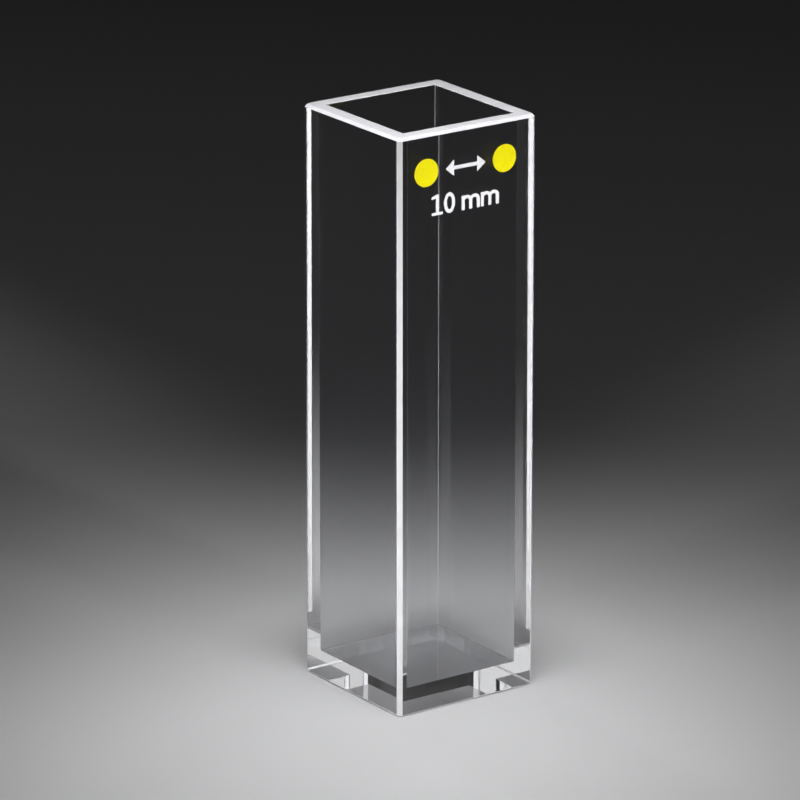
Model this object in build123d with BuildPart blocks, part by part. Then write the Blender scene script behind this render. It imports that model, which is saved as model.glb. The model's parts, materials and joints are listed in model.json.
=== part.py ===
from build123d import *
import os

# A square cuvette: a clear box of fused quartz, open at the top, that holds a liquid in a beam of light.
# Millimetres, +Z up, with the origin at the middle of the foot. The beam runs along Y, through the front
# window at -Y and the back window at +Y.

# The well, which sets the path of the light through the liquid
path_length = 10.0
well_width = 10.0

# The glass round the well
window_thickness = 1.25
side_thickness = 1.25
base_thickness = 1.85
height = 45.0

# The rounds that fusing leaves in the inner corners of the well
fused_radius = 0.06

# The ground bevels, given by their legs
upright_bevel = 0.32
rim_bevel = 0.22
mouth_bevel = 0.05
foot_bevel = 0.1

# The outer faces follow from the well and the glass round it
outer_width = well_width + 2 * side_thickness
outer_depth = path_length + 2 * window_thickness
well_depth = height - base_thickness

os.makedirs("parts", exist_ok=True)

with BuildPart() as cuvette_body:
    # The block, with its four upright edges ground to bevels
    with BuildSketch() as footprint:
        Rectangle(outer_width, outer_depth)
        chamfer(footprint.vertices(), length=upright_bevel)
    extrude(amount=height)

    # The well, cut from the base's upper face to the rim
    with BuildSketch(Plane.XY.offset(base_thickness)) as well:
        Rectangle(well_width, path_length)
    extrude(amount=well_depth, mode=Mode.SUBTRACT)

    # The floor's edges and the upright inner corners share one round, so that they meet in a ball corner
    floor_edges, inner_corners = cuvette_body.edges(Select.LAST).group_by(Axis.Z)[:2]
    fillet(floor_edges + inner_corners, radius=fused_radius)

    # The rim, bevelled along its outer edge and eased along the mouth
    rim = cuvette_body.faces().sort_by(Axis.Z)[-1]
    mouth = rim.inner_wires()[0]
    chamfer(rim.outer_wire().edges(), length=rim_bevel)
    chamfer(mouth.edges(), length=mouth_bevel)

    # The foot, bevelled all round
    foot = cuvette_body.faces().sort_by(Axis.Z)[0]
    chamfer(foot.outer_wire().edges(), length=foot_bevel)

cuvette_body.part.label = "cuvette_body"
export_step(cuvette_body.part, "parts/cuvette_body.step")
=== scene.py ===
import json
import math

import bmesh
import bpy
from mathutils import Euler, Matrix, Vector


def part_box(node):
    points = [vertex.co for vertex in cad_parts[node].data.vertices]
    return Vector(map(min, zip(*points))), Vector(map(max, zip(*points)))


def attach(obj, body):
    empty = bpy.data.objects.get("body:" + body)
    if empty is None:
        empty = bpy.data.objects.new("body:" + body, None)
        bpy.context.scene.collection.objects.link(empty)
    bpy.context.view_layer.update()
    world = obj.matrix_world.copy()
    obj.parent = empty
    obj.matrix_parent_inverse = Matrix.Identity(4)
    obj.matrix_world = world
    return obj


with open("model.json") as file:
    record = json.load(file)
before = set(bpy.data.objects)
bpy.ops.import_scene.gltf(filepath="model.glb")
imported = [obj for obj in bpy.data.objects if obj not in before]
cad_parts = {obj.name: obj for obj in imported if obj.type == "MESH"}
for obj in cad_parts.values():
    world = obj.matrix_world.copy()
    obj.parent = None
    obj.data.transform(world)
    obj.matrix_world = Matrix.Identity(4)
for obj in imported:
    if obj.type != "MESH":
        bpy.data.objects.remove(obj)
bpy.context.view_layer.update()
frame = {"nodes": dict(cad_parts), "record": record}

# Dresses and lights a square cuvette of fused quartz. Units are metres, and the frame has the cuvette
# upright, with its foot on z = 0 and its printed window towards -Y.
MM = 0.001
body = frame["nodes"]["cuvette_body"]
low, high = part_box("cuvette_body")
centre = (low + high) / 2
well_high = Vector(frame["record"]["physics"]["openings"][0]["box_m"][1])

# The slots of the body's finishes, and what tells a ground face from a polished one
POLISHED, GROUND_RIM, GROUND_EDGE = range(3)
RIM_REACH = 0.35 * MM
RIM_TILT = 0.3
SQUARE = 0.98
WELL_MARGIN = 0.15 * MM

# The quartz, and the share of the light that its ground faces let through
QUARTZ_IOR = 1.458
QUARTZ_TINT = (0.985, 0.99, 1.0)
RIM_CLEARNESS = 0.1
EDGE_CLEARNESS = 0.5

# The haze of the polished faces: its noise, the span of the noise that shows, and the roughness it gives
HAZE = {"Scale": 160.0, "Detail": 3.0}
HAZE_SPAN = (0.45, 0.8)
HAZE_ROUGHNESS = (0.0, 0.015)

# The ground faces: fine grit, and clouds of a darker and a lighter white
GRIT = {"Scale": 9000.0, "Detail": 4.0, "Roughness": 0.65}
GRIT_SPAN = (0.0, 1.0)
GRIT_ROUGHNESS = (0.5, 0.75)
GRIT_BUMP = 0.35
GRIT_DEPTH = 0.02 * MM
CLOUDS = {"Scale": 700.0, "Detail": 3.0}
CLOUD_SPAN = (0.3, 0.62)
GROUND_DARK = (0.86, 0.85, 0.90)
GROUND_LIGHT = (0.95, 0.945, 0.97)

# The ink, a little speckled
SPECKLE = {"Scale": 4000.0, "Detail": 3.0}
SPECKLE_SPAN = (0.3, 0.6)
SPECKLE_BUMP = 0.2
SPECKLE_DEPTH = 0.01 * MM
INK_ROUGHNESS = 0.6
INK_GLOSS = 0.1
YELLOW_DARK = (0.91, 0.80, 0.003)
YELLOW_LIGHT = (0.95, 0.86, 0.004)
WHITE_DARK = (0.87, 0.87, 0.89)
WHITE_LIGHT = (0.92, 0.92, 0.94)

# The layer of ink on the front window, and the dots and the arrow in it
INK_THICKNESS = 0.012 * MM
INK_GAP = 0.008 * MM
INK_MERGE = INK_THICKNESS / 10
PRINT_CENTRE_X = centre.x - 0.27 * MM
DOT_DIAMETER = 2.13 * MM
DOT_SPACING = 7.08 * MM
DOT_DROP = 2.92 * MM
ARROW_LENGTH = 3.6 * MM
ARROW_HEAD = 0.75 * MM
ARROW_HALF_HEIGHT = 0.62 * MM
ARROW_HALF_SHAFT = 0.14 * MM

# The path length in figures, under the dots
MARK = "10 mm"
MARK_DROP = 6.30 * MM
STROKE = 0.27 * MM
FIGURE_WIDTH = 1.0 * MM
FIGURE_HEIGHT = 1.57 * MM
FIGURE_GAP = 0.1 * MM
SPACE_WIDTH = 0.4 * MM
UNIT_WIDTH = 1.65 * MM
UNIT_HEIGHT = 1.1 * MM

# The stem, foot and flag of the one, and the arches of the m
STEM_OFFSET = 0.38 * FIGURE_WIDTH
FOOT_HEIGHT = 0.8 * STROKE
FLAG_DROP = 0.5 * STROKE
FLAG_HEIGHT = 0.8 * STROKE
FLAG_ROOT = 0.5 * STROKE
FLAG_INSET = 0.2 * STROKE
ARCH_SPRING = 0.62 * UNIT_HEIGHT
ARCH_THICKNESS = 0.9 * STROKE

# How many spans a round outline has
ROUND_STEPS = 72
ARCH_STEPS = 18
SHORT_ARCH_STEPS = 12

# The floor, a hair below the foot
FLOOR_SIDE = 3.0
FLOOR_DROP = 0.05 * MM
FLOOR_COLOUR = (0.60, 0.60, 0.61)
FLOOR_ROUGHNESS = 0.8
FLOOR_GLOSS = 0.2

# The lamps, with angles in degrees and powers in watts. Azimuth 0 is straight in front of the printed
# window, and azimuth 90 is off its right side.
OVERHEAD = {
    "azimuth": -35.0,
    "elevation": 84.0,
    "distance": 200 * MM,
    "size": (60 * MM, 60 * MM),
    "power": 0.0138,
    "spread": 26.0,
}
OVERHEAD_FORWARD = 19 * MM
PANEL = {
    "elevation": 22.0,
    "distance": 520 * MM,
    "size": (300 * MM, 300 * MM),
    "power": 0.02,
    "spread": 60.0,
}
PANEL_AZIMUTHS = {"left_panel": -140.0, "right_panel": 40.0}
STRIP = {"distance": 300 * MM, "size": (30 * MM, 50 * MM), "spread": 8.0}
STRIPS = {
    "front_strip": {"azimuth": 5.0, "elevation": 2.0, "power": 0.0044},
    "left_strip": {"azimuth": -80.0, "elevation": 1.0, "power": 0.0055},
    "back_left_strip": {"azimuth": 175.0, "elevation": 1.0, "power": 0.0068},
    "back_right_strip": {"azimuth": 115.0, "elevation": 1.0, "power": 0.0048},
}
ROOM_COLOUR = (0.004, 0.004, 0.0045)

# The camera stands where the photograph was taken from, with its angles in degrees
CAMERA_AZIMUTH = -35.44
CAMERA_ELEVATION = 17.87
CAMERA_DISTANCE = 453.9 * MM
CAMERA_HEADING = -35.25
CAMERA_PITCH = 17.9
CAMERA_LENS_MM = 271.0
CAMERA_SENSOR_MM = 36.0
CAMERA_NEAR = 10 * MM
CAMERA_FAR = 10.0

# How far light is followed, as it runs along inside the walls from face to face
MOST_BOUNCES = 48
GLASS_BOUNCES = 40
DIFFUSE_BOUNCES = 5


def opaque(colour):
    """A colour with full alpha, as Blender's sockets take it."""
    return (*colour, 1.0)


def material(name):
    """A new material: (material, node tree, its Principled shader)."""
    made = bpy.data.materials.new(name)
    made.use_nodes = True
    return made, made.node_tree, made.node_tree.nodes["Principled BSDF"]


def noise(tree, settings):
    """The value of a noise that stays with the piece."""
    place = tree.nodes.new("ShaderNodeTexCoord")
    made = tree.nodes.new("ShaderNodeTexNoise")
    for name, value in settings.items():
        made.inputs[name].default_value = value
    tree.links.new(place.outputs["Object"], made.inputs["Vector"])
    return made.outputs["Fac"]


def vary_colour(tree, shader, source, span, dark, light):
    """Shades the base colour from a dark tone to a light one."""
    tone = tree.nodes.new("ShaderNodeValToRGB")
    for end, position, colour in zip(tone.color_ramp.elements, span, (dark, light)):
        end.position = position
        end.color = opaque(colour)
    tree.links.new(source, tone.inputs["Fac"])
    tree.links.new(tone.outputs["Color"], shader.inputs["Base Color"])


def vary_roughness(tree, shader, source, span, roughness):
    """Lets the roughness run between two values."""
    rough = tree.nodes.new("ShaderNodeMapRange")
    rough.inputs["From Min"].default_value, rough.inputs["From Max"].default_value = span
    rough.inputs["To Min"].default_value, rough.inputs["To Max"].default_value = roughness
    tree.links.new(source, rough.inputs["Value"])
    tree.links.new(rough.outputs["Result"], shader.inputs["Roughness"])


def vary_height(tree, shader, source, strength, depth):
    """Raises and lowers the surface a little."""
    bump = tree.nodes.new("ShaderNodeBump")
    bump.inputs["Strength"].default_value = strength
    bump.inputs["Distance"].default_value = depth
    tree.links.new(source, bump.inputs["Height"])
    tree.links.new(bump.outputs["Normal"], shader.inputs["Normal"])


def polished_quartz():
    """Clear fused quartz, with the faint haze that polishing leaves in patches."""
    made, tree, shader = material("polished_quartz")
    vary_roughness(tree, shader, noise(tree, HAZE), HAZE_SPAN, HAZE_ROUGHNESS)
    shader.inputs["Base Color"].default_value = opaque(QUARTZ_TINT)
    shader.inputs["IOR"].default_value = QUARTZ_IOR
    shader.inputs["Transmission Weight"].default_value = 1.0
    return made


def ground_quartz(name, clearness):
    """Quartz left white and matt by the grinding wheel, which lets a share of the light through."""
    made, tree, shader = material(name)
    grit = noise(tree, GRIT)
    vary_colour(tree, shader, noise(tree, CLOUDS), CLOUD_SPAN, GROUND_DARK, GROUND_LIGHT)
    vary_roughness(tree, shader, grit, GRIT_SPAN, GRIT_ROUGHNESS)
    vary_height(tree, shader, grit, GRIT_BUMP, GRIT_DEPTH)
    shader.inputs["IOR"].default_value = QUARTZ_IOR
    shader.inputs["Transmission Weight"].default_value = clearness
    return made


def ink(name, dark, light):
    """Screen-printed ink, a little uneven where the screen let it through."""
    made, tree, shader = material(name)
    speckle = noise(tree, SPECKLE)
    vary_colour(tree, shader, speckle, SPECKLE_SPAN, dark, light)
    vary_height(tree, shader, speckle, SPECKLE_BUMP, SPECKLE_DEPTH)
    shader.inputs["Roughness"].default_value = INK_ROUGHNESS
    shader.inputs["Specular IOR Level"].default_value = INK_GLOSS
    return made


def floor_card():
    """The pale card that the cuvette stands on."""
    made, _, shader = material("floor_card")
    shader.inputs["Base Color"].default_value = opaque(FLOOR_COLOUR)
    shader.inputs["Roughness"].default_value = FLOOR_ROUGHNESS
    shader.inputs["Specular IOR Level"].default_value = FLOOR_GLOSS
    return made


def finish_of(face):
    """The slot of a face's finish, from where the face is and which way it looks."""
    normal = face.normal
    middle = face.center
    if middle.z > high.z - RIM_REACH and normal.z > RIM_TILT:
        return GROUND_RIM
    square = max(abs(part) for part in normal) > SQUARE
    outside = max(abs(middle.x), abs(middle.y)) > well_high.x + WELL_MARGIN
    return GROUND_EDGE if outside and not square else POLISHED


def dress_body():
    """Polishes the windows and the well, and leaves the rim and the bevels ground."""
    body.data.materials.clear()
    body.data.materials.append(polished_quartz())
    body.data.materials.append(ground_quartz("ground_rim", RIM_CLEARNESS))
    body.data.materials.append(ground_quartz("ground_edge", EDGE_CLEARNESS))
    for face in body.data.polygons:
        face.material_index = finish_of(face)


def ink_piece(name, outlines, material_used):
    """A thin layer of ink on the front window, from outlines in the window's own x and z."""
    shape = bmesh.new()
    back_y = low.y - INK_GAP
    for outline in outlines:
        shape.faces.new([shape.verts.new((x, back_y, z)) for x, z in outline])
    bmesh.ops.remove_doubles(shape, verts=shape.verts, dist=INK_MERGE)
    raised = bmesh.ops.extrude_face_region(shape, geom=list(shape.faces))
    moved = [item for item in raised["geom"] if isinstance(item, bmesh.types.BMVert)]
    bmesh.ops.translate(shape, verts=moved, vec=(0.0, -INK_THICKNESS, 0.0))
    bmesh.ops.recalc_face_normals(shape, faces=shape.faces)
    mesh = bpy.data.meshes.new(name)
    shape.to_mesh(mesh)
    shape.free()
    mesh.materials.append(material_used)
    piece = bpy.data.objects.new(name, mesh)
    bpy.context.scene.collection.objects.link(piece)
    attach(piece, "root")


def arc(x, z, half_width, half_height, start, end, steps):
    """Points along an oval, between two angles in radians."""
    turns = [start + (end - start) * k / steps for k in range(steps + 1)]
    return [(x + half_width * math.cos(t), z + half_height * math.sin(t)) for t in turns]


def oval(x, z, half_width, half_height):
    """The points of a whole oval."""
    return arc(x, z, half_width, half_height, 0.0, 2 * math.pi, ROUND_STEPS)[:-1]


def dot(x, z):
    """A round dot."""
    radius = DOT_DIAMETER / 2
    return oval(x, z, radius, radius)


def arrow(x, z):
    """A double-headed arrow that marks the way of the light."""
    tip = ARROW_LENGTH / 2
    neck = tip - ARROW_HEAD
    corners = [
        (tip, 0.0),
        (neck, ARROW_HALF_HEIGHT),
        (neck, ARROW_HALF_SHAFT),
        (-neck, ARROW_HALF_SHAFT),
        (-neck, ARROW_HALF_HEIGHT),
        (-tip, 0.0),
        (-neck, -ARROW_HALF_HEIGHT),
        (-neck, -ARROW_HALF_SHAFT),
        (neck, -ARROW_HALF_SHAFT),
        (neck, -ARROW_HALF_HEIGHT),
    ]
    return [(x + u, z + v) for u, v in corners]


def figure_one(x, z):
    """A one, with a flag and a foot."""
    left = x + STEM_OFFSET
    right = left + STROKE
    top = z + FIGURE_HEIGHT
    foot = z + FOOT_HEIGHT
    flag = top - FLAG_DROP
    return [[
        (x, z),
        (x + FIGURE_WIDTH, z),
        (x + FIGURE_WIDTH, foot),
        (right, foot),
        (right, top),
        (left + FLAG_INSET, top),
        (x, flag),
        (x, flag - FLAG_HEIGHT),
        (left, flag - FLAG_ROOT),
        (left, foot),
        (x, foot),
    ]]


def figure_nought(x, z):
    """A nought, as a ring of short spans."""
    half_width = FIGURE_WIDTH / 2
    half_height = FIGURE_HEIGHT / 2
    middle = (x + half_width, z + half_height)
    outer = oval(*middle, half_width, half_height)
    inner = oval(*middle, half_width - STROKE, half_height - STROKE)
    return [[outer[k - 1], outer[k], inner[k], inner[k - 1]] for k in range(len(outer))]


def word_space(x, z):
    """The gap before the unit, which has no ink."""
    return []


def letter_m(x, z):
    """The m of millimetres: three stems under two arches."""
    pitch = (UNIT_WIDTH - STROKE) / 2
    reach = (pitch + STROKE) / 2
    inner_reach = (pitch - STROKE) / 2
    spring = z + ARCH_SPRING
    rise = z + UNIT_HEIGHT - spring
    meeting = math.acos(pitch / (pitch + STROKE))
    leaving = math.acos((STROKE - reach) / reach)
    outline = [(x, z), (x, spring + rise), (x + STROKE, spring + rise)]
    outline += arc(x + reach, spring, reach, rise, leaving, meeting, SHORT_ARCH_STEPS)
    outline += arc(x + reach + pitch, spring, reach, rise, math.pi - meeting, 0.0, ARCH_STEPS)[1:]
    for stem in (2, 1):
        right = x + stem * pitch + STROKE
        outline += [(right, z), (right - STROKE, z)]
        middle = right - STROKE - inner_reach
        outline += arc(middle, spring, inner_reach, rise - ARCH_THICKNESS, 0.0, math.pi, ARCH_STEPS)
    outline.append((x + STROKE, z))
    return [outline]


def path_mark(x, z):
    """The outlines of the path length, figure by figure, with the middle of the line at x."""
    drawn = {
        "1": (figure_one, FIGURE_WIDTH),
        "0": (figure_nought, FIGURE_WIDTH),
        " ": (word_space, SPACE_WIDTH),
        "m": (letter_m, UNIT_WIDTH),
    }
    widths = [drawn[sign][1] for sign in MARK]
    x -= (sum(widths) + FIGURE_GAP * (len(MARK) - 1)) / 2
    outlines = []
    for sign in MARK:
        draw, sign_width = drawn[sign]
        outlines += draw(x, z)
        x += sign_width + FIGURE_GAP
    return outlines


def print_window():
    """The dots, the arrow and the path length near the top of the front window."""
    yellow = ink("yellow_ink", YELLOW_DARK, YELLOW_LIGHT)
    white = ink("white_ink", WHITE_DARK, WHITE_LIGHT)
    dot_z = high.z - DOT_DROP
    ink_piece("dot_left", [dot(PRINT_CENTRE_X - DOT_SPACING / 2, dot_z)], yellow)
    ink_piece("dot_right", [dot(PRINT_CENTRE_X + DOT_SPACING / 2, dot_z)], yellow)
    ink_piece("light_path_arrow", [arrow(PRINT_CENTRE_X, dot_z)], white)
    ink_piece("path_length_mark", path_mark(PRINT_CENTRE_X, high.z - MARK_DROP), white)


def lay_floor():
    """The pale floor under the cuvette."""
    mesh = bpy.data.meshes.new("floor")
    half = FLOOR_SIDE / 2
    corners = [(-half, -half, 0.0), (half, -half, 0.0), (half, half, 0.0), (-half, half, 0.0)]
    mesh.from_pydata(corners, [], [(0, 1, 2, 3)])
    mesh.materials.append(floor_card())
    floor = bpy.data.objects.new("floor", mesh)
    floor.location = (0.0, 0.0, low.z - FLOOR_DROP)
    bpy.context.scene.collection.objects.link(floor)


def outwards(azimuth, elevation):
    """The direction from the cuvette to a place round it, from two angles in degrees."""
    turn = math.radians(azimuth)
    rise = math.radians(elevation)
    return Vector((math.sin(turn) * math.cos(rise), -math.cos(turn) * math.cos(rise), math.sin(rise)))


def softbox(name, aim, azimuth, elevation, distance, size, power, spread):
    """A soft lamp that looks at a point, with a grid that keeps its light together."""
    lamp = bpy.data.lights.new(name, "AREA")
    lamp.shape = "RECTANGLE"
    lamp.size, lamp.size_y = size
    lamp.energy = power
    lamp.spread = math.radians(spread)
    away = outwards(azimuth, elevation)
    holder = bpy.data.objects.new(name, lamp)
    holder.location = aim + away * distance
    holder.rotation_mode = "QUATERNION"
    holder.rotation_quaternion = (-away).to_track_quat("-Z", "Y")
    holder.visible_camera = False
    bpy.context.scene.collection.objects.link(holder)


def light_stage():
    """A softbox overhead, two panels, and low strips for the print and the ground edges, in a dim room."""
    front = centre + OVERHEAD_FORWARD * outwards(CAMERA_AZIMUTH, 0.0)
    softbox("overhead", front, **OVERHEAD)
    for name, azimuth in PANEL_AZIMUTHS.items():
        softbox(name, centre, azimuth, **PANEL)
    for name, own in STRIPS.items():
        softbox(name, centre, **STRIP, **own)
    world = bpy.data.worlds.new("dim_room")
    world.use_nodes = True
    world.node_tree.nodes["Background"].inputs["Color"].default_value = opaque(ROOM_COLOUR)
    bpy.context.scene.world = world


def place_camera():
    """The photograph's own point of view."""
    lens = bpy.data.cameras.new("camera")
    lens.sensor_width = CAMERA_SENSOR_MM
    lens.lens = CAMERA_LENS_MM
    lens.clip_start = CAMERA_NEAR
    lens.clip_end = CAMERA_FAR
    camera = bpy.data.objects.new("camera", lens)
    camera.location = centre + CAMERA_DISTANCE * outwards(CAMERA_AZIMUTH, CAMERA_ELEVATION)
    tilt = math.pi / 2 - math.radians(CAMERA_PITCH)
    camera.rotation_euler = Euler((tilt, 0.0, math.radians(CAMERA_HEADING)))
    bpy.context.scene.collection.objects.link(camera)
    bpy.context.scene.camera = camera


def set_paths():
    """Plain colours on the screen, and enough bounces for light to run along inside the walls."""
    scene = bpy.context.scene
    scene.view_settings.view_transform = "Standard"
    scene.cycles.max_bounces = MOST_BOUNCES
    scene.cycles.glossy_bounces = GLASS_BOUNCES
    scene.cycles.transmission_bounces = GLASS_BOUNCES
    scene.cycles.diffuse_bounces = DIFFUSE_BOUNCES


dress_body()
print_window()
lay_floor()
light_stage()
place_camera()
set_paths()
